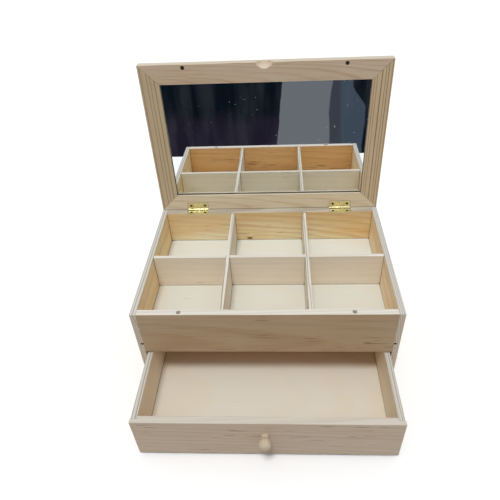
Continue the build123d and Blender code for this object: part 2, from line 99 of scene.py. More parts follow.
class Wiring:
    """Adds nodes to one shader tree and links them, so that a formula reads as one line."""

    def __init__(self, tree):
        self.tree = tree

    def node(self, kind, **settings):
        made = self.tree.nodes.new(kind)
        made.location = (190 * (len(self.tree.nodes) % 12), -240 * (len(self.tree.nodes) // 12))
        for name, value in settings.items():
            setattr(made, name, value)
        return made

    def feed(self, socket, value):
        if isinstance(value, bpy.types.NodeSocket):
            self.tree.links.new(value, socket)
        else:
            socket.default_value = value

    def math(self, operation, *terms, clamp=False):
        made = self.node("ShaderNodeMath", operation=operation, use_clamp=clamp)
        for socket, term in zip(made.inputs, terms):
            self.feed(socket, term)
        return made.outputs[0]

    def vector(self, operation, *terms):
        made = self.node("ShaderNodeVectorMath", operation=operation)
        for socket, term in zip(made.inputs, terms):
            self.feed(socket, term)
        wants_number = operation in ("DOT_PRODUCT", "LENGTH", "DISTANCE")
        return made.outputs["Value"] if wants_number else made.outputs["Vector"]

    def split(self, vector):
        made = self.node("ShaderNodeSeparateXYZ")
        self.feed(made.inputs[0], vector)
        return made.outputs

    def join(self, x, y, z):
        made = self.node("ShaderNodeCombineXYZ")
        for socket, value in zip(made.inputs, (x, y, z)):
            self.feed(socket, value)
        return made.outputs[0]

    def step(self, value, low, high, to_low=0.0, to_high=1.0):
        """A smooth step from to_low to to_high as value goes from low to high."""
        made = self.node("ShaderNodeMapRange", interpolation_type="SMOOTHSTEP")
        for name, term in (("Value", value), ("From Min", low), ("From Max", high),
                           ("To Min", to_low), ("To Max", to_high)):
            self.feed(made.inputs[name], term)
        return made.outputs["Result"]

    def noise(self, vector, scale=1.0, detail=2.0, roughness=0.5):
        made = self.node("ShaderNodeTexNoise")
        self.feed(made.inputs["Vector"], vector)
        self.feed(made.inputs["Scale"], scale)
        self.feed(made.inputs["Detail"], detail)
        self.feed(made.inputs["Roughness"], roughness)
        return made.outputs["Fac"]

    def blend(self, factor, one, other, how="MIX"):
        made = self.node("ShaderNodeMix", data_type="RGBA", blend_type=how)
        self.feed(made.inputs["Factor"], factor)
        self.feed(made.inputs["A"], one)
        self.feed(made.inputs["B"], other)
        return made.outputs["Result"]

    def crevice(self, distance):
        """1 deep in a joint or an inner corner, 0 on open faces: a mask for painted shade and dirt."""
        open_above, shut_below = 0.80, 0.30
        made = self.node("ShaderNodeAmbientOcclusion", samples=8)
        self.feed(made.inputs["Distance"], distance)
        return self.step(made.outputs["AO"], open_above, shut_below)

    def place(self, group, **values):
        """Places a node group and sets its inputs. Heart_Place fills the input named Heart Place."""
        made = self.node("ShaderNodeGroup", node_tree=group)
        for name, value in values.items():
            self.feed(made.inputs[name.replace("_", " ")], value)
        return made.outputs


def new_group(name, inputs, outputs):
    """An empty shader node group. Inputs are (name, kind, default), and outputs are (name, kind)."""
    tree = bpy.data.node_groups.new(name, "ShaderNodeTree")
    for label, kind, default in inputs:
        socket = tree.interface.new_socket(name=label, in_out="INPUT", socket_type="NodeSocket" + kind)
        socket.default_value = default
    for label, kind in outputs:
        tree.interface.new_socket(name=label, in_out="OUTPUT", socket_type="NodeSocket" + kind)
    wires = Wiring(tree)
    return tree, wires, wires.node("NodeGroupInput").outputs, wires.node("NodeGroupOutput").inputs


def new_material(name):
    """A material with its Principled shader, ready for wiring."""
    material = bpy.data.materials.new(name)
    material.use_nodes = True
    wires = Wiring(material.node_tree)
    return material, wires, material.node_tree.nodes["Principled BSDF"].inputs


def add_bump(wires, shader, height, strength, distance):
    """Feeds a height into the shader's normal. The distance is in metres."""
    bump = wires.node("ShaderNodeBump")
    bump.inputs["Strength"].default_value = strength
    bump.inputs["Distance"].default_value = distance
    wires.feed(bump.inputs["Height"], height)
    wires.feed(shader["Normal"], bump.outputs["Normal"])


print("mid grey as linear light:", round(daylight(128, 128, 128)[0], 3))

# %% [markdown]
# ## Floor, light and what the mirror sees
# The light comes from a soft sky, bright overhead and dim towards the horizon, as in a room with
# pale walls, and from one broad sun lamp a little behind the camera. The tops of the boards turn
# nearly white and the upright faces fall into a warm half shade. A mirror shows what stands in
# front of it, and an empty white studio would look dead, so a screen with soft dark bands stands
# before the table. Only glossy rays see it, so it throws no shadow and never shows itself.

# %% Floor
FLOOR_SIDE = 60.0
FLOOR_Z = -0.0002
FLOOR_WHITE = (1.0, 1.0, 1.0, 1.0)
FLOOR_BOUNCE = (0.36, 0.36, 0.36, 1.0)


def add_plate(name, corners, material):
    """One flat four-sided plate."""
    mesh = bpy.data.meshes.new(name)
    mesh.from_pydata([Vector(corner) for corner in corners], [], [(0, 1, 2, 3)])
    plate = bpy.data.objects.new(name, mesh)
    plate.data.materials.append(material)
    bpy.context.scene.collection.objects.link(plate)
    return plate


def floor_material():
    """White to the eye and in the mirror, but a dimmer bounce for the wood, as a table in a room gives."""
    material, wires, shader = new_material("pale_floor")
    bounce = wires.node("ShaderNodeLightPath").outputs["Is Diffuse Ray"]
    wires.feed(shader["Base Color"], wires.blend(bounce, FLOOR_WHITE, FLOOR_BOUNCE))
    shader["Roughness"].default_value = 0.9
    shader["Specular IOR Level"].default_value = 0.1
    return material


half = FLOOR_SIDE / 2
add_plate("floor", [(-half, -half, FLOOR_Z), (half, -half, FLOOR_Z), (half, half, FLOOR_Z),
                    (-half, half, FLOOR_Z)], floor_material())
print("floor", FLOOR_SIDE, "m square")

# %% Sky and sun
ZENITH = 0.75
HORIZON = 0.34
FRONT_HORIZON = 0.12
SEEN_WHITE = 1.1
FRONT_TO_BACK = (-0.7, 0.1)
HORIZON_TO_TOP = (0.05, 0.85)
SKY_COLOUR = daylight(252, 253, 255)


def add_sky():
    """A world that is bright overhead and dimmer towards the horizon, with no colour cast."""
    world = bpy.data.worlds.new("soft_sky")
    world.use_nodes = True
    bpy.context.scene.world = world
    wires = Wiring(world.node_tree)
    background = world.node_tree.nodes["Background"]
    direction = wires.split(wires.node("ShaderNodeTexCoord").outputs["Generated"])
    low = wires.step(direction["Y"], *FRONT_TO_BACK, FRONT_HORIZON, HORIZON)
    shine = wires.step(direction["Z"], *HORIZON_TO_TOP, low, ZENITH)
    seen = wires.node("ShaderNodeLightPath").outputs["Is Camera Ray"]
    backdrop = wires.math("MULTIPLY", seen, SEEN_WHITE)
    wires.feed(background.inputs["Strength"], wires.math("MAXIMUM", shine, backdrop))
    background.inputs["Color"].default_value = SKY_COLOUR


def add_sun(name, strength, angle, towards):
    """A broad sun: the larger its angle, the softer the shadow."""
    data = bpy.data.lights.new(name, "SUN")
    data.energy = strength
    data.angle = math.radians(angle)
    lamp = bpy.data.objects.new(name, data)
    lamp.rotation_mode = "QUATERNION"
    lamp.rotation_quaternion = Vector(towards).to_track_quat("-Z", "Y")
    bpy.context.scene.collection.objects.link(lamp)


add_sky()
add_sun("window_light", strength=1.56, angle=13, towards=(0.06, 0.34, -1.0))
print("sky from", HORIZON, "at the horizon to", ZENITH, "overhead")

# %% What the mirror sees
SCREEN_Y = -0.285
SCREEN_HALF_WIDTH = 1.2
SCREEN_HEIGHT = 0.75
DARK_TEAL = daylight(10, 18, 27)
DARK_PLUM = daylight(32, 28, 42)
WALL_GREY = daylight(107, 110, 117)
SLATE_SHADE = daylight(60, 63, 74)
SLATE_BLUE = daylight(63, 74, 88)
DRIFT_GRAIN = (14.0, 1.0, 22.0)
FOLD_GRAIN = (45.0, 1.0, 9.0)
FOLD_DEPTH = 0.10
PLUM_BELOW = (0.125, 0.085)
DRIFT = 0.006
GREY_SLANT = 0.10
SLATE_SLANT = 0.08
BLUE_SLANT = 0.07
BULGE_HEIGHT = 0.085
DARK_STEP = 0.026
DARK_STEP_AT = (0.09, 0.14)


def screen_material():
    """Soft upright bands: dark teal over dark plum, then grey, slate and dark again."""
    material, wires, shader = new_material("dark_room_bands")
    place = wires.node("ShaderNodeTexCoord").outputs["Object"]
    x, y, z = wires.split(place)
    drift = wires.noise(wires.vector("MULTIPLY", place, DRIFT_GRAIN), detail=2.0)
    folds = wires.noise(wires.vector("MULTIPLY", place, FOLD_GRAIN), detail=2.0)
    across = wires.math("MULTIPLY_ADD", drift, DRIFT, wires.math("SUBTRACT", x, DRIFT / 2))
    plum = wires.step(wires.math("MULTIPLY_ADD", drift, 0.05, z), *PLUM_BELOW)
    colour = wires.blend(plum, DARK_TEAL, DARK_PLUM)
    grey_edge = wires.math("SUBTRACT", across, wires.math("MULTIPLY", z, GREY_SLANT))
    bulge = wires.math("ABSOLUTE", wires.math("SUBTRACT", z, BULGE_HEIGHT))
    slate_edge = wires.math("MULTIPLY_ADD", bulge, -SLATE_SLANT, across)
    blue_edge = wires.math("ADD", across, wires.math("MULTIPLY", z, BLUE_SLANT))
    jog = wires.math("MULTIPLY", wires.step(z, *DARK_STEP_AT), DARK_STEP)
    dark_edge = wires.math("ADD", across, jog)
    bands = [(grey_edge, 0.0046, 0.0062, WALL_GREY), (slate_edge, 0.1050, 0.1075, SLATE_SHADE),
             (blue_edge, 0.1320, 0.1380, SLATE_BLUE), (dark_edge, 0.1730, 0.1760, DARK_TEAL)]
    for edge, start, end, band in bands:
        colour = wires.blend(wires.step(edge, start, end), colour, band)
    cloth = wires.math("MULTIPLY", wires.step(folds, 0.35, 0.75), FOLD_DEPTH)
    colour = wires.blend(cloth, colour, WALL_GREY)
    shader["Base Color"].default_value = (0, 0, 0, 1)
    shader["Roughness"].default_value = 1.0
    shader["Specular IOR Level"].default_value = 0.0
    wires.feed(shader["Emission Color"], colour)
    shader["Emission Strength"].default_value = 1.0
    return material


screen = add_plate("dark_room", [(-SCREEN_HALF_WIDTH, SCREEN_Y, 0), (SCREEN_HALF_WIDTH, SCREEN_Y, 0),
                                 (SCREEN_HALF_WIDTH, SCREEN_Y, SCREEN_HEIGHT),
                                 (-SCREEN_HALF_WIDTH, SCREEN_Y, SCREEN_HEIGHT)], screen_material())
for ray in ("visible_camera", "visible_diffuse", "visible_shadow", "visible_transmission",
            "visible_volume_scatter"):
    setattr(screen, ray, False)
bpy.context.scene.view_settings.view_transform = "Standard"
print("dark screen", SCREEN_Y, "m in front, seen by glossy rays only")

# %% [markdown]
# ## Every board has its own axes
# Grain follows a board's length, whatever way the board stands in the box. Generated or UV
# coordinates would need unwrapping, so each material instead measures its own place in metres
# along, across and into the board, from three axes. The coordinates are the object's own, so the
# grain stays put when the lid or the drawer moves.

# %% Board axes as a node group
board_axes, wires, given, out = new_group(
    "board_axes",
    [("Centre", "Vector", (0, 0, 0)), ("Along", "Vector", (1, 0, 0)), ("Across", "Vector", (0, 1, 0))],
    [("Board", "Vector"), ("Facing", "Vector")])
coordinates = wires.node("ShaderNodeTexCoord")
deep = wires.vector("CROSS_PRODUCT", given["Along"], given["Across"])
offset = wires.vector("SUBTRACT", coordinates.outputs["Object"], given["Centre"])
three_axes = (given["Along"], given["Across"], deep)
for label, source in (("Board", offset), ("Facing", coordinates.outputs["Normal"])):
    measured = [wires.vector("DOT_PRODUCT", source, axis) for axis in three_axes]
    wires.feed(out[label], wires.join(*measured))
print("node group:", board_axes.name)

# %% [markdown]
# ## Growth rings
# A board is a slice through a tree, and its figure is where that slice cuts the year rings. So the
# rings are made as tubes around the tree's heart, which lies beside or below the board: near and
# sloping, it gives pointed arches, and far away or off to the side it gives straight stripes. Slow
# noise bends the tubes and a knot pushes them aside. Each year is pale at first and ends in a
# darker, harder line.

# %% Growth rings as a node group
SLOW_BEND = (5.0, 26.0, 26.0)
QUICK_BEND = (24.0, 110.0, 110.0)
QUICK_SHARE = 0.22
KNOT_SHAPE = (0.5, 1.0, 1.0)
KNOT_FALL = -0.16
KNOT_PUSH = 2.2
UNEVEN_YEARS = 2.4
LATE_FULL, YEAR_END = 0.86, 0.90
UNEVEN_PACE = 0.31
PALEST_YEAR = 0.4
KNOT_RIM = (1.0, 0.55)
growth_rings, wires, given, out = new_group(
    "growth_rings",
    [("Board", "Vector", (0, 0, 0)), ("Heart", "Vector", (0.0, 0.0, 0.05)), ("Ring Width", "Float", 0.003),
     ("Waviness", "Float", 0.004), ("Seed", "Float", 0.0), ("Knot", "Vector", (9, 9, 9)),
     ("Knot Size", "Float", 0.003), ("Early Share", "Float", 0.25)],
    [("Late Wood", "Float"), ("Knot Mask", "Float")])
# The wobble of the tubes
shifted = wires.vector("ADD", given["Board"], wires.join(given["Seed"], given["Seed"], given["Seed"]))
slow = wires.noise(wires.vector("MULTIPLY", shifted, SLOW_BEND), detail=1.5)
quick = wires.noise(wires.vector("MULTIPLY", shifted, QUICK_BEND), detail=2.0)
waves = wires.math("ADD", wires.math("SUBTRACT", slow, 0.5),
                   wires.math("MULTIPLY", wires.math("SUBTRACT", quick, 0.5), QUICK_SHARE))
wobble = wires.math("MULTIPLY", waves, given["Waviness"])
# The knot and how far it pushes the tubes
knot_gap = wires.vector("MULTIPLY", wires.vector("SUBTRACT", given["Board"], given["Knot"]), KNOT_SHAPE)
knot_reach = wires.math("DIVIDE", wires.vector("LENGTH", knot_gap), given["Knot Size"])
reach_squared = wires.math("MULTIPLY", knot_reach, knot_reach)
swell = wires.math("EXPONENT", wires.math("MULTIPLY", reach_squared, KNOT_FALL))
push = wires.math("MULTIPLY", wires.math("MULTIPLY", swell, given["Knot Size"]), KNOT_PUSH)
# The distance from the heart
board, heart = wires.split(given["Board"]), wires.split(given["Heart"])
sideways = wires.math("ADD", board["Y"], heart["Y"])
inwards = wires.math("ADD", wires.math("ADD", board["Z"], heart["Z"]),
                     wires.math("MULTIPLY", board["X"], heart["X"]))
tube = wires.math("SQRT", wires.math("ADD", wires.math("MULTIPLY", sideways, sideways),
                                     wires.math("MULTIPLY", inwards, inwards)))
radius = wires.math("ADD", wires.math("ADD", tube, wobble), push)
# The year, counted outwards, and the place within it
years = wires.math("ADD", wires.math("DIVIDE", radius, given["Ring Width"]), given["Seed"])
uneven = wires.noise(wires.join(wires.math("MULTIPLY", years, UNEVEN_PACE), given["Seed"], 0.0), detail=0.0)
years = wires.math("ADD", years, wires.math("MULTIPLY", uneven, UNEVEN_YEARS))
year = wires.math("FLOOR", years)
within = wires.math("FRACT", years)
dice = wires.node("ShaderNodeTexWhiteNoise", noise_dimensions="1D")
wires.feed(dice.inputs["W"], wires.math("ADD", year, given["Seed"]))
darkening = wires.math("MULTIPLY", wires.step(within, given["Early Share"], LATE_FULL),
                       wires.step(within, 1.0, YEAR_END))
strength = wires.math("MULTIPLY_ADD", dice.outputs["Value"], 1 - PALEST_YEAR, PALEST_YEAR)
wires.feed(out["Late Wood"], wires.math("MULTIPLY", darkening, strength))
wires.feed(out["Knot Mask"], wires.step(knot_reach, *KNOT_RIM))
print("node group:", growth_rings.name)

# %% [markdown]
# ## Fibres, flecks and clouds
# Three finer things sit on top of the rings. Fibres are hair-thin lines along the grain. Flecks are
# short dark dashes where a resin duct was cut open. Clouds are slow changes of tone from one end of
# the board to the other. All three are noise, stretched by different amounts along the grain.

# %% Fibres as a node group
COARSE_GRAIN = (14.0, 420.0, 420.0)
FINE_GRAIN = (60.0, 1900.0, 1900.0)
DASH_GRAIN = (38.0, 520.0, 520.0)
PATCH_GRAIN = (11.0, 30.0, 30.0)
CLOUD_GRAIN = (7.0, 26.0, 26.0)
RAREST_DASH = 0.78
DASH_SOFTNESS = 0.07
PATCH_EDGE = (0.46, 0.62)
wood_fibres, wires, given, out = new_group(
    "wood_fibres",
    [("Board", "Vector", (0, 0, 0)), ("Seed", "Float", 0.0), ("Fleck Share", "Float", 0.2)],
    [("Fibre", "Float"), ("Fleck", "Float"), ("Cloud", "Float")])
shifted = wires.vector("ADD", given["Board"], wires.join(given["Seed"], 0.0, given["Seed"]))
coarse = wires.noise(wires.vector("MULTIPLY", shifted, COARSE_GRAIN), detail=2.0, roughness=0.6)
fine = wires.noise(wires.vector("MULTIPLY", shifted, FINE_GRAIN), detail=2.0, roughness=0.6)
wires.feed(out["Fibre"], wires.math("MULTIPLY_ADD", coarse, 0.6, wires.math("MULTIPLY", fine, 0.4)))
dashes = wires.noise(wires.vector("MULTIPLY", shifted, DASH_GRAIN), detail=1.0)
patches = wires.noise(wires.vector("MULTIPLY", shifted, PATCH_GRAIN), detail=1.0)
threshold = wires.math("SUBTRACT", RAREST_DASH, wires.math("MULTIPLY", given["Fleck Share"], 0.2))
lined = wires.step(dashes, threshold, wires.math("ADD", threshold, DASH_SOFTNESS))
wires.feed(out["Fleck"], wires.math("MULTIPLY", lined, wires.step(patches, *PATCH_EDGE)))
wires.feed(out["Cloud"], wires.noise(wires.vector("MULTIPLY", shifted, CLOUD_GRAIN), detail=3.0))
print("node group:", wood_fibres.name)

# %% [markdown]
# ## Worn edges and painted groove shade
# Bare wood is eased with sandpaper along its edges, which leaves them paler and smoother. The
# distance to the second nearest face of a board tells how close a point is to an edge, so the wear
# needs only the board's own size. A face that lies inside that size is the wall of a groove, and it
# is painted near black as the shade inside the groove.

# %% Worn edges and painted groove shade as a node group
RAGGED_SCALE = 260.0
INSIDE = (0.0004, 0.0009)
edge_wear_and_groove_shade, wires, given, out = new_group(
    "edge_wear_and_groove_shade",
    [("Board", "Vector", (0, 0, 0)), ("Half Size", "Vector", (1, 1, 1)), ("Width", "Float", 0.001),
     ("Seed", "Float", 0.0)],
    [("Edge", "Float"), ("Cut Inside", "Float")])
gaps = wires.split(wires.vector("SUBTRACT", given["Half Size"], wires.vector("ABSOLUTE", given["Board"])))
nearer = wires.math("MINIMUM", gaps["X"], gaps["Y"])
farther = wires.math("MAXIMUM", gaps["X"], gaps["Y"])
second = wires.math("MAXIMUM", nearer, wires.math("MINIMUM", farther, gaps["Z"]))
shifted = wires.vector("ADD", given["Board"], wires.join(given["Seed"], 0.0, 0.0))
ragged = wires.noise(shifted, scale=RAGGED_SCALE, detail=3.0)
reach = wires.math("MULTIPLY", given["Width"], wires.math("MULTIPLY_ADD", ragged, 1.6, 0.2))
wires.feed(out["Edge"], wires.step(second, reach, 0.0))
wires.feed(out["Cut Inside"], wires.step(wires.math("MINIMUM", nearer, gaps["Z"]), *INSIDE))
print("node group:", edge_wear_and_groove_shade.name)

# %% [markdown]
# ## Bare pine
# One recipe serves all the solid boards, with the place of the tree's heart, the ring width and the
# tone changed from board to board, as they would be in boards sawn from different logs. It is laid
# in the order that nature and the maker laid it: rings, clouds, fibres and flecks, then the board's
# own tone, which on the long divider's far side is paler as painted light, the paler sanded narrow
# faces, the worn edges, and last the dust and painted shade in the joints.

# %% Colours of pine
PALE_PINE = daylight(231, 214, 186)
LATE_PINE = daylight(190, 144, 106)
STRONG_LATE = daylight(150, 108, 76)
WARM_PINE = daylight(222, 178, 122)
STREAK = daylight(212, 184, 158)
FLECK_BROWN = daylight(138, 98, 72)
KNOT_BROWN = daylight(92, 58, 36)
SANDED_PINE = daylight(203, 200, 192)
RIM_LINE = daylight(190, 174, 160)
DARK_RIM_LINE = daylight(140, 112, 92)
# Groove walls are painted near black: painted shade inside the grooves.
GROOVE_SHADE_BLACK = daylight(30, 20, 14)
# Dust and painted shade in the joints and inner corners, wherever the occlusion mask finds them.
JOINT_DUST_AND_SHADE = daylight(70, 48, 32)
JOINT_REACH = 0.0020
JOINT_DARK = 0.85
WARM_CLOUDS = (0.35, 0.7)
DARK_FIBRES = (0.52, 0.32)
FLECK_DARK = 0.6
WOOD_GLOSS = 0.35


def face_colour(wires, rings, fibres, contrast, warmth, fibre, late):
    """Rings, warm clouds, darker fibres and flecks over pale pine."""
    colour = wires.blend(wires.math("MULTIPLY", rings["Late Wood"], contrast), PALE_PINE, late)
    cloud = wires.step(fibres["Cloud"], *WARM_CLOUDS)
    colour = wires.blend(wires.math("MULTIPLY", cloud, warmth), colour, WARM_PINE)
    streak = wires.math("MULTIPLY", wires.step(fibres["Fibre"], *DARK_FIBRES), fibre)
    colour = wires.blend(streak, colour, wires.blend(1.0, colour, STREAK, "MULTIPLY"))
    return wires.blend(wires.math("MULTIPLY", fibres["Fleck"], FLECK_DARK), colour, FLECK_BROWN)


def paint_dust_and_shade_in_joints(wires, colour):
    """Dust and painted shade: fine dark lines where pieces meet, and in inner corners."""
    joint = wires.math("MULTIPLY", wires.crevice(JOINT_REACH), JOINT_DARK)
    return wires.blend(joint, colour, JOINT_DUST_AND_SHADE)


print("pine colours ready, joints darken within", JOINT_REACH, "m")

# %% Tone and narrow faces
FAR_SIDE = (-0.5, -0.9)
SQUARE_ON = (0.6, 0.9)
LEFT_END = (-0.035, -0.050)


def board_tone_and_painted_light(wires, axes, tint, back_tint, left_tint):
    """Own tone, changed on the far side or the left end; the long divider's paler far side is painted
    light.
    """
    far_side = wires.step(wires.split(axes["Facing"])["Z"], *FAR_SIDE)
    tone = wires.blend(far_side, (*tint, 1.0), (*(back_tint or tint), 1.0))
    if left_tint:
        left = wires.step(wires.split(axes["Board"])["X"], *LEFT_END)
        near_left = wires.math("SUBTRACT", left, far_side, clamp=True)
        tone = wires.blend(near_left, tone, (*left_tint, 1.0))
    return tone


def add_rims(wires, axes, rings, colour, rim, end, rim_lines, rim_line):
    """The sanded colour on the narrow faces, crossed by the year rings."""
    facing = wires.split(wires.vector("ABSOLUTE", axes["Facing"]))
    on_end = wires.step(facing["X"], *SQUARE_ON)
    on_rim = wires.math("MAXIMUM", wires.step(facing["Y"], *SQUARE_ON), on_end)
    plain = wires.blend(on_end, rim, end or rim)
    lined = wires.blend(1.0, plain, rim_line, "MULTIPLY")
    lines = wires.math("MULTIPLY", rings["Late Wood"], rim_lines)
    return wires.blend(on_rim, colour, wires.blend(lines, plain, lined))


def add_wood_surface(wires, shader, rings, fibres, edges):
    """Raised fibres and late wood, pitted flecks, and edges worn smoother."""
    rough = wires.math("MULTIPLY_ADD", fibres["Fibre"], 0.22, 0.52)
    polish = wires.math("MULTIPLY", edges["Edge"], 0.12)
    wires.feed(shader["Roughness"], wires.math("SUBTRACT", rough, polish))
    shader["Specular IOR Level"].default_value = WOOD_GLOSS
    relief = wires.math("MULTIPLY_ADD", rings["Late Wood"], 0.5, fibres["Fibre"])
    pits = wires.math("MULTIPLY", fibres["Fleck"], 0.8)
    add_bump(wires, shader, wires.math("SUBTRACT", relief, pits), strength=0.5, distance=0.00012)


print("narrow faces start where a face turns", SQUARE_ON[0], "of the way")

# %% Bare wood
WEAR_WIDTH = 0.0008
WEAR_SHARE = 0.30
KNOT_SHARE = 0.85


def board_wood(name, centre, half_size, along, across, heart=(0.1, 0.0, 0.06), ring=3.0, waviness=5.0,
               early=0.25, contrast=0.5, warmth=0.25, flecks=0.2, fibre=0.3, seed=0.0, late=LATE_PINE,
               tint=(1, 1, 1), back_tint=None, left_tint=None, rim=SANDED_PINE, end=None, rim_lines=0.5,
               rim_line=RIM_LINE, knot=None, knot_size=3.0, groove=0.0):
    """Bare wood for one board. Ring, waviness and knot size are in millimetres."""
    material, wires, shader = new_material(name)
    axes = wires.place(board_axes, Centre=centre, Along=along, Across=across)
    rings = wires.place(growth_rings, Board=axes["Board"], Heart=heart, Ring_Width=ring * MM,
                        Waviness=waviness * MM, Seed=seed, Knot=knot or (9, 9, 9),
                        Knot_Size=knot_size * MM, Early_Share=early)
    fibres = wires.place(wood_fibres, Board=axes["Board"], Seed=seed, Fleck_Share=flecks)
    edges = wires.place(edge_wear_and_groove_shade, Board=axes["Board"], Half_Size=half_size, Width=WEAR_WIDTH, Seed=seed)
    colour = face_colour(wires, rings, fibres, contrast, warmth, fibre, late)
    colour = wires.blend(1.0, colour, board_tone_and_painted_light(wires, axes, tint, back_tint, left_tint), "MULTIPLY")
    colour = add_rims(wires, axes, rings, colour, rim, end, rim_lines, rim_line)
    colour = wires.blend(wires.math("MULTIPLY", edges["Edge"], WEAR_SHARE), colour, rim)
    colour = wires.blend(wires.math("MULTIPLY", rings["Knot Mask"], KNOT_SHARE), colour, KNOT_BROWN)
    # Dust and painted shade in the joints and inner corners.
    colour = paint_dust_and_shade_in_joints(wires, colour)
    # The walls of a groove are painted near black as its shade.
    if groove:
        colour = wires.blend(wires.math("MULTIPLY", edges["Cut Inside"], groove), colour, GROOVE_SHADE_BLACK)
    wires.feed(shader["Base Color"], colour)
    add_wood_surface(wires, shader, rings, fibres, edges)
    return material


def dress(node, material):
    """Puts a finished material on a frame piece, in place of its plain one."""
    piece = NODES[node]
    for place in piece.material_slots:
        place.link = "OBJECT"
        place.material = material


def middle_and_half(node):
    """The centre of a piece's box at rest, and half its size."""
    low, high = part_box(node)
    return (low + high) / 2, (high - low) / 2


X, Y, Z = Vector((1, 0, 0)), Vector((0, 1, 0)), Vector((0, 0, 1))


def board_place(node, along, across):
    """A board's centre, and half its length, width and thickness along its own axes."""
    centre, half_size = middle_and_half(node)
    own_axes = (along, across, along.cross(across))
    return centre, [sum(abs(axis[i]) * half_size[i] for i in range(3)) for axis in own_axes]


def dress_board(node, along, across, **values):
    """Bare wood on a board that stands square in the box."""
    centre, size = board_place(node, along, across)
    dress(node, board_wood("bare_pine_" + node, centre, size, along, across, **values))


print("edges wear over", WEAR_WIDTH, "m")

# %% Boards of the case and the drawer
PALE_RIM = daylight(220, 216, 204)
DIVIDER_TINT = (1.02, 1.11, 1.27)
dress_board("case_fascia", X, Z, heart=(0.03, 0.012, 0.060), ring=3.4, contrast=0.22, seed=1.7,
            flecks=0.9, warmth=0.3, tint=(0.66, 0.585, 0.51), back_tint=(1.15, 0.84, 0.50),
            rim=daylight(222, 217, 206))
dress_board("drawer_front", X, Z, heart=(0.04, 0.050, 0.050), ring=3.4, contrast=0.25, seed=4.2,
            flecks=0.65, warmth=0.1, tint=(0.85, 0.83, 0.87), rim=daylight(203, 195, 182), rim_lines=0.2)
# The back's narrow faces are darker, partly its own tone and partly painted shade from the lid along the
# top edge.
dress_board("case_back", X, Z, heart=(0.16, 0.004, 0.022), ring=6.5, waviness=14.0, contrast=0.45,
            warmth=0.85, seed=8.4, flecks=0.45, knot=(-0.0243, 0.0170, 0.0045), knot_size=2.2,
            tint=(1.03, 1.02, 0.85), left_tint=(1.08, 1.22, 1.26), back_tint=(1.06, 1.06, 0.94),
            rim=daylight(188, 180, 164))
for node, seed, tint in (("case_left_side", 2.3, (1.12, 1.07, 0.86)),
                         ("case_right_side", 5.9, (1.20, 1.22, 1.18))):
    dress_board(node, Y, Z, heart=(0.0, 0.0, 0.260), ring=2.0, contrast=0.3, seed=seed, warmth=0.4,
                tint=tint, early=0.5, end=daylight(222, 208, 188), rim_lines=0.6, rim_line=DARK_RIM_LINE,
                groove=0.95)
for node, seed in (("drawer_left_side", 7.1), ("drawer_right_side", 3.3)):
    dress_board(node, Y, Z, heart=(0.01, 0.0, 0.080), ring=2.4, contrast=0.08, seed=seed, flecks=0.1,
                fibre=0.15, tint=(1.16, 1.18, 1.20), rim_lines=1.0)
dress_board("drawer_back", X, Z, heart=(0.05, 0.0, 0.030), ring=3.0, contrast=0.35, seed=6.6,
            tint=(1.10, 0.78, 0.44))
# The long divider's paler far side faces the back and the mirror: painted light.
dress_board("tray_long_divider", X, Z, heart=(0.02, 0.06, 0.02), ring=9.0, contrast=0.10, seed=9.2,
            fibre=0.12, warmth=0.05, flecks=0.25, tint=DIVIDER_TINT, back_tint=(1.22, 1.38, 1.62),
            rim=daylight(230, 227, 216), rim_lines=0.3)
for node, seed in (("tray_left_divider", 9.8), ("tray_right_divider", 11.3)):
    dress_board(node, Y, Z, heart=(0.02, 0.06, 0.04), ring=1.5, contrast=0.20, seed=seed, warmth=0.1,
                fibre=0.15, flecks=0.1, tint=DIVIDER_TINT, rim=PALE_RIM, rim_lines=1.4, early=0.4)
print("boards dressed square in the box:", 11)

# %% [markdown]
# ## The lid's frame
# The lid is a mitred frame of four rails. At rest it leans back two degrees past upright, so its
# boards lie in a tilted plane, and their grain axes are tilted with them. A tilted rail's box is
# larger than the rail, so the rail's own width and thickness are given here.

# %% Lid rails
RIGHT_ANGLE = 90
lid_hinge = next(joint for joint in frame["joints"] if joint["name"] == "lid_hinge")
LEAN = math.radians(lid_hinge["range_deg"][1] - RIGHT_ANGLE)
LID_UP = Vector((0, math.sin(LEAN), math.cos(LEAN)))
RAIL_WIDTH = 20.2 * MM
LID_THICKNESS = 9 * MM
LID_RIM = daylight(211, 200, 180)


def dress_rail(node, upright, **values):
    """Bare wood on one rail of the tilted lid frame."""
    centre, half_size = middle_and_half(node)
    length = half_size.z / math.cos(LEAN) if upright else half_size.x
    along, across = (LID_UP, X) if upright else (X, LID_UP)
    size = (length, RAIL_WIDTH / 2, LID_THICKNESS / 2)
    dress(node, board_wood("bare_pine_" + node, centre, size, along, across, **values))


dress_rail("lid_front_rail", False, heart=(0.05, 0.012, 0.016), ring=2.4, contrast=0.38, seed=12.4,
           waviness=4.0, early=0.6, tint=(0.86, 0.82, 0.83), rim=LID_RIM)
dress_rail("lid_rear_rail", False, heart=(0.05, 0.010, 0.020), ring=4.0, contrast=0.35, seed=14.9,
           waviness=6.0, early=0.55, tint=(1.04, 1.12, 1.16), rim=LID_RIM)
dress_rail("lid_left_rail", True, heart=(0.0, 0.070, 0.010), ring=4.4, contrast=1.0, seed=16.2,
           waviness=1.0, early=0.62, warmth=0.1, tint=(0.78, 0.74, 0.65), late=STRONG_LATE, rim=LID_RIM)
dress_rail("lid_right_rail", True, heart=(0.0, 0.060, 0.012), ring=3.0, contrast=1.0, seed=18.8,
           waviness=1.0, early=0.60, warmth=0.1, tint=(0.87, 0.81, 0.71), late=STRONG_LATE, rim=LID_RIM)
print("lid leans back", round(math.degrees(LEAN), 1), "degrees past upright")
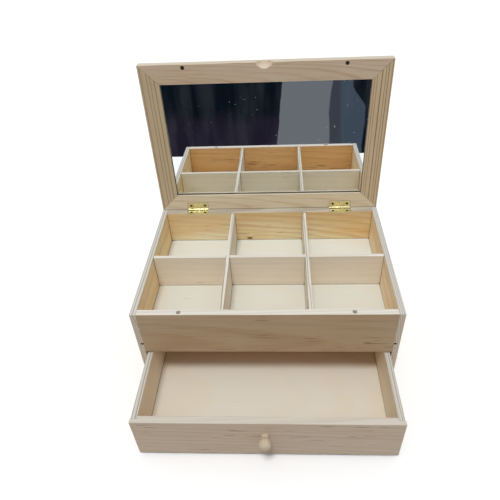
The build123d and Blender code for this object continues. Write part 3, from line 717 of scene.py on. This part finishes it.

# %% [markdown]
# ## Plywood
# The tray floor, the drawer floor, the bottom and the lid's outer sheet are thin plywood. Its face
# is peeled off a turning log, so it has few lines, only wide soft ones and clouds, and its edge
# shows the glued layers. The part of the drawer's floor that stays in the case is painted warmer
# and darker, which is painted shade. The back half of the tray's floor is painted a little paler,
# which is painted light from the mirror, and its underside is a redder sheet, which gives the warm
# shade in the drawer's opening.

# %% Colours of plywood
PALE_VENEER = daylight(226, 224, 212)
VENEER_SHADOW = daylight(222, 206, 176)
UNDER_VENEER = daylight(222, 142, 74)
GLUE_LINE = daylight(120, 86, 56)
# The warmer, darker back of the drawer floor inside the case is painted shade.
WARM_PAINTED_SHADE = (1.0, 0.87, 0.70, 1.0)
# The paler back half of the tray's floor is painted light from the mirror.
PAINTED_MIRROR_LIGHT = (1.05, 1.09, 1.13, 1.0)
BACK_FADE = 0.009
VENEER_HEART = (0.25, 0.02, 0.05)
VENEER_RING = 0.016
VENEER_WAVES = 0.03
FAINT_FIBRES = (0.5, 0.3)
CORE_LAYER = (0.42, 0.34)
SHEET_EDGE = (0.8, 0.5)
CORE_DARK = 0.75
UNDERSIDE = (-0.6, -0.9)


def veneer_face(wires, rings, fibres, pale, figure):
    """Peeled veneer: wide soft rings, clouds, faint fibres and a few flecks."""
    colour = wires.blend(wires.math("MULTIPLY", rings["Late Wood"], figure), pale, VENEER_SHADOW)
    colour = wires.blend(wires.math("MULTIPLY", fibres["Cloud"], 0.22), colour, VENEER_SHADOW)
    faint = wires.math("MULTIPLY", wires.step(fibres["Fibre"], *FAINT_FIBRES), 0.25)
    colour = wires.blend(faint, colour, VENEER_SHADOW)
    return wires.blend(wires.math("MULTIPLY", fibres["Fleck"], 0.4), colour, GLUE_LINE)


def add_layers(wires, axes, colour, half_thickness):
    """A darker middle layer, on the sheet's edges only."""
    depth = wires.math("DIVIDE", wires.split(axes["Board"])["Z"], half_thickness)
    core = wires.step(wires.math("ABSOLUTE", depth), *CORE_LAYER)
    flatness = wires.split(wires.vector("ABSOLUTE", axes["Facing"]))["Z"]
    on_edge = wires.step(flatness, *SHEET_EDGE)
    layer = wires.math("MULTIPLY", wires.math("MULTIPLY", core, on_edge), CORE_DARK)
    return wires.blend(layer, colour, GLUE_LINE)


print("plywood changes tone over", 2 * BACK_FADE, "m")

# %% Plywood
def dress_sheet(node, along, across, pale=PALE_VENEER, seed=0.0, figure=0.22, back_from=None,
                back_tint=WARM_PAINTED_SHADE, under=0.0):
    """Thin plywood. Behind back_from, metres from the middle, it takes the back tint: painted shade by
    default.
    """
    centre, size = board_place(node, along, across)
    material, wires, shader = new_material("plywood_" + node)
    axes = wires.place(board_axes, Centre=centre, Along=along, Across=across)
    fibres = wires.place(wood_fibres, Board=axes["Board"], Seed=seed, Fleck_Share=0.1)
    rings = wires.place(growth_rings, Board=axes["Board"], Heart=VENEER_HEART,
                        Ring_Width=VENEER_RING, Waviness=VENEER_WAVES, Seed=seed)
    colour = veneer_face(wires, rings, fibres, pale, figure)
    # Behind back_from the back tint paints shade on the drawer floor and light on the tray floor.
    if back_from is not None:
        back = wires.step(wires.split(axes["Board"])["Y"], back_from - BACK_FADE, back_from + BACK_FADE)
        colour = wires.blend(back, colour, wires.blend(1.0, colour, back_tint, "MULTIPLY"))
    if under:
        below = wires.step(wires.split(axes["Facing"])["Z"], *UNDERSIDE)
        colour = wires.blend(wires.math("MULTIPLY", below, under), colour, UNDER_VENEER)
    colour = paint_dust_and_shade_in_joints(wires, add_layers(wires, axes, colour, size[2]))
    wires.feed(shader["Base Color"], colour)
    wires.feed(shader["Roughness"], wires.math("MULTIPLY_ADD", fibres["Fibre"], 0.2, 0.5))
    shader["Specular IOR Level"].default_value = WOOD_GLOSS
    add_bump(wires, shader, fibres["Fibre"], strength=0.35, distance=0.0001)
    dress(node, material)


# The back half of the tray's floor is painted paler as light from the mirror.
dress_sheet("tray_floor", X, Y, seed=1.1, pale=daylight(214, 215, 206), back_from=0.0, back_tint=PAINTED_MIRROR_LIGHT,
            under=0.9)
# The drawer floor's back, inside the case, is painted warmer and darker as shade.
dress_sheet("drawer_floor", X, Y, seed=2.2, figure=0.40, pale=daylight(221, 216, 202), back_from=0.0130)
dress_sheet("case_bottom", X, Y, seed=3.1, figure=0.5)
dress_sheet("lid_top_panel", X, LID_UP, seed=4.7, figure=0.6, pale=daylight(224, 212, 188))
print("plywood sheets dressed:", 4)

# %% [markdown]
# ## Mirror, metal and the knob
# The mirror is silvered glass with a little dust on it. The hinges are stamped brass, polished and
# then handled; the lid's leaf gets a paler, less metallic copy of the brass as painted light, and the
# screws and the lid's magnets are coloured dark as painted shade in their recesses. The knob is a
# ball turned from a denser, browner wood, with its end grain showing at the front.

# %% Mirror
CLEAN_SILVER = daylight(243, 246, 247)
DUSTY_SILVER = daylight(214, 217, 219)
DUST_GRAIN = (260.0, 200.0, 420.0)
DUST_PATCHES = 34.0
SMEAR_GRAIN = (24.0, 90.0, 60.0)
SPECK_EDGE = (0.685, 0.765)
DUST_EDGE = (0.49, 0.61)
SMEAR_EDGE = (0.5, 0.8)


def mirror_material():
    """Silvered glass with a few specks of dust in patches, and a faint smear."""
    material, wires, shader = new_material("silvered_glass")
    place = wires.node("ShaderNodeTexCoord").outputs["Object"]
    specks = wires.noise(wires.vector("MULTIPLY", place, DUST_GRAIN), detail=2.5)
    specks = wires.step(specks, *SPECK_EDGE)
    patches = wires.step(wires.noise(place, scale=DUST_PATCHES), *DUST_EDGE)
    dust = wires.math("MULTIPLY", specks, patches)
    smear = wires.noise(wires.vector("MULTIPLY", place, SMEAR_GRAIN), detail=3.0)
    smear = wires.step(smear, *SMEAR_EDGE)
    wires.feed(shader["Metallic"], wires.math("SUBTRACT", 1.0, wires.math("MULTIPLY", dust, 0.55)))
    wires.feed(shader["Base Color"], wires.blend(dust, CLEAN_SILVER, DUSTY_SILVER))
    haze = wires.math("MULTIPLY_ADD", smear, 0.03, 0.012)
    wires.feed(shader["Roughness"], wires.math("MULTIPLY_ADD", dust, 0.28, haze))
    return material


dress("lid_mirror", mirror_material())
print("mirror silvered")

# %% Scratches as a node group
SCRATCH_GRAIN = (140.0, 3600.0, 3600.0)
SCRATCH_EDGE = (0.5, 0.72)
TARNISH_SCALE = 210.0
scratches, wires, given, out = new_group(
    "fine_scratches",
    [("Vector", "Vector", (0, 0, 0)), ("Seed", "Float", 0.0)],
    [("Scratch", "Float"), ("Tarnish", "Float")])
shifted = wires.vector("ADD", given["Vector"], wires.join(given["Seed"], given["Seed"], 0.0))
drawn = wires.noise(wires.vector("MULTIPLY", shifted, SCRATCH_GRAIN), detail=2.0)
wires.feed(out["Scratch"], wires.step(drawn, *SCRATCH_EDGE))
wires.feed(out["Tarnish"], wires.noise(shifted, scale=TARNISH_SCALE, detail=4.0, roughness=0.6))
print("node group:", scratches.name)

# %% Metal
METAL_JOINT_REACH = 0.0011
# Dirt and painted shade where metal meets wood or sits in a hollow.
METAL_JOINT_DIRT_AND_SHADE = daylight(58, 46, 20)
TARNISH_EDGE = (0.40, 0.68)
TARNISH_DARK = 0.4


def metal(name, bright, dull, rough, seed, metallic=0.85):
    """Bright metal with fine scratches, patches of tarnish, and dirt and painted shade in its joints."""
    material, wires, shader = new_material(name)
    place = wires.node("ShaderNodeTexCoord").outputs["Object"]
    marks = wires.place(scratches, Vector=place, Seed=seed)
    patch = wires.step(marks["Tarnish"], *TARNISH_EDGE)
    shader["Metallic"].default_value = metallic
    colour = wires.blend(wires.math("MULTIPLY", patch, TARNISH_DARK), bright, dull)
    wires.feed(shader["Base Color"], wires.blend(wires.crevice(METAL_JOINT_REACH), colour, METAL_JOINT_DIRT_AND_SHADE))
    worn = wires.math("MULTIPLY_ADD", patch, 0.07, rough)
    wires.feed(shader["Roughness"], wires.math("MULTIPLY_ADD", marks["Scratch"], 0.12, worn))
    add_bump(wires, shader, marks["Scratch"], strength=0.15, distance=0.00003)
    return material


stamped_brass = metal("stamped_brass", daylight(244, 236, 190), daylight(200, 184, 118), rough=0.22,
                      seed=0.4, metallic=0.80)
# The lid's leaf is a paler, half-metal copy of the brass, so it looks lit where it faces the dark room:
# painted light.
lid_leaf_painted_light = metal("brass_leaf_painted_light", daylight(255, 242, 184), daylight(238, 216, 140), rough=0.26,
                      seed=0.9, metallic=0.50)
# The screws are coloured dark to read as their shaded recesses: painted shade.
dark_screw = metal("screw_painted_dark", daylight(112, 92, 50), daylight(52, 40, 22), rough=0.34, seed=1.4)
# The lid's magnets are dark for the shade in their recessed holes: painted shade.
magnet = metal("nickel_magnet_painted_dark", daylight(96, 90, 84), daylight(48, 42, 38), rough=0.35, seed=2.1)
# The case's magnets are greyer and darker than bare nickel.
greyed_magnet = metal("greyed_magnet", daylight(178, 166, 150), daylight(116, 104, 92), rough=0.42, seed=5.3)
steel = metal("bright_steel", daylight(190, 190, 188), daylight(120, 116, 110), rough=0.28, seed=3.7)
METAL_PIECES = [("hinge_case_screws", dark_screw), ("hinge_lid_screws", dark_screw),
                ("case_magnets", greyed_magnet), ("lid_magnets", magnet), ("case_bottom_brads", steel),
                ("drawer_brads", steel), ("drawer_knob_screw", steel)]
for side in ("left", "right"):
    METAL_PIECES += [(side + "_hinge_case_leaf", stamped_brass), (side + "_hinge_lid_leaf", lid_leaf_painted_light),
                     (side + "_hinge_pin", stamped_brass)]
for node, material in METAL_PIECES:
    dress(node, material)
print("metal pieces dressed:", len(METAL_PIECES))

# %% Knob
# A ball has no edges to wear, so the wear is measured from a box three times as large.
WIDER_BOX = 3
centre, half_size = middle_and_half("drawer_knob")
knob_wood = board_wood("turned_knob", centre, half_size * WIDER_BOX, Y, Z, heart=(0.0, 0.004, 0.006),
                       ring=1.3, contrast=0.35, tint=(0.72, 0.74, 0.78), seed=21.0, warmth=0.1, flecks=0.6,
                       rim=daylight(196, 180, 156))
dress("drawer_knob", knob_wood)
print("knob turned")

# %% [markdown]
# ## Eased edges
# Real boards have no razor edges. A small bevel on each board catches the light along its rim and
# opens a hairline at every joint. The frame's mesh keeps its points, and it all happens in
# modifiers: a weld closes its seams, flat faces are made whole, the bevel rounds the corners, and
# the normals are weighted to the flat faces.

# %% Eased edges
EASED = 0.35
SEAM = 0.000002
FLAT_WITHIN = math.radians(1)
CORNER_OVER = math.radians(40)
FACE_WEIGHT = 80


def ease(node, width):
    """Rounds a piece's edges by a few tenths of a millimetre, without touching its mesh."""
    piece = NODES[node]
    weld = piece.modifiers.new("closed_seams", "WELD")
    weld.merge_threshold = SEAM
    merged = piece.modifiers.new("whole_faces", "DECIMATE")
    merged.decimate_type = "DISSOLVE"
    merged.angle_limit = FLAT_WITHIN
    bevel = piece.modifiers.new("eased_edges", "BEVEL")
    bevel.width = width * MM
    bevel.segments = 2
    bevel.limit_method = "ANGLE"
    bevel.angle_limit = CORNER_OVER
    bevel.use_clamp_overlap = False
    bevel.miter_outer = "MITER_ARC"
    weighted = piece.modifiers.new("flat_faces", "WEIGHTED_NORMAL")
    weighted.keep_sharp = False
    weighted.weight = FACE_WEIGHT


BOARDS = ["case_left_side", "case_right_side", "case_back", "case_fascia", "tray_long_divider",
          "tray_left_divider", "tray_right_divider", "lid_front_rail", "lid_rear_rail", "lid_left_rail",
          "lid_right_rail", "drawer_front", "drawer_left_side", "drawer_right_side", "drawer_back"]
for node in BOARDS:
    ease(node, EASED)
print("eased", EASED, "mm on", len(BOARDS), "boards")
